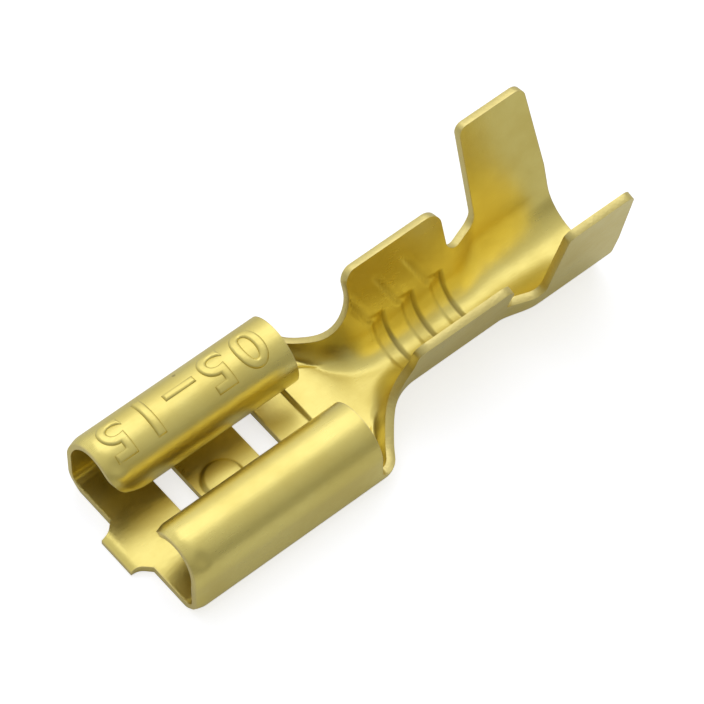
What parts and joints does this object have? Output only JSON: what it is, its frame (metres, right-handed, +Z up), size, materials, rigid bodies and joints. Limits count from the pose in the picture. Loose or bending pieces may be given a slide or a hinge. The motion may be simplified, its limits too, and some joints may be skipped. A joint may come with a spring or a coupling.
{
  "type": "female spade terminal",
  "caption": "Push-on female spade terminal in folded brass sheet, with curled edges that grip a flat tab and open barrels that crimp onto a wire.",
  "frame": {"origin": "middle of the length and of the width, on the flat underside", "axes": "+X from the tab's mouth towards the wire, +Z up out of the open barrels"},
  "size_m": [0.0212, 0.0074, 0.0067],
  "materials": {
    "brass": "bright rolled sheet with sheared edges"
  },
  "bodies": {
    "root": {"terminal": "brass"}
  },
  "joints": []
}
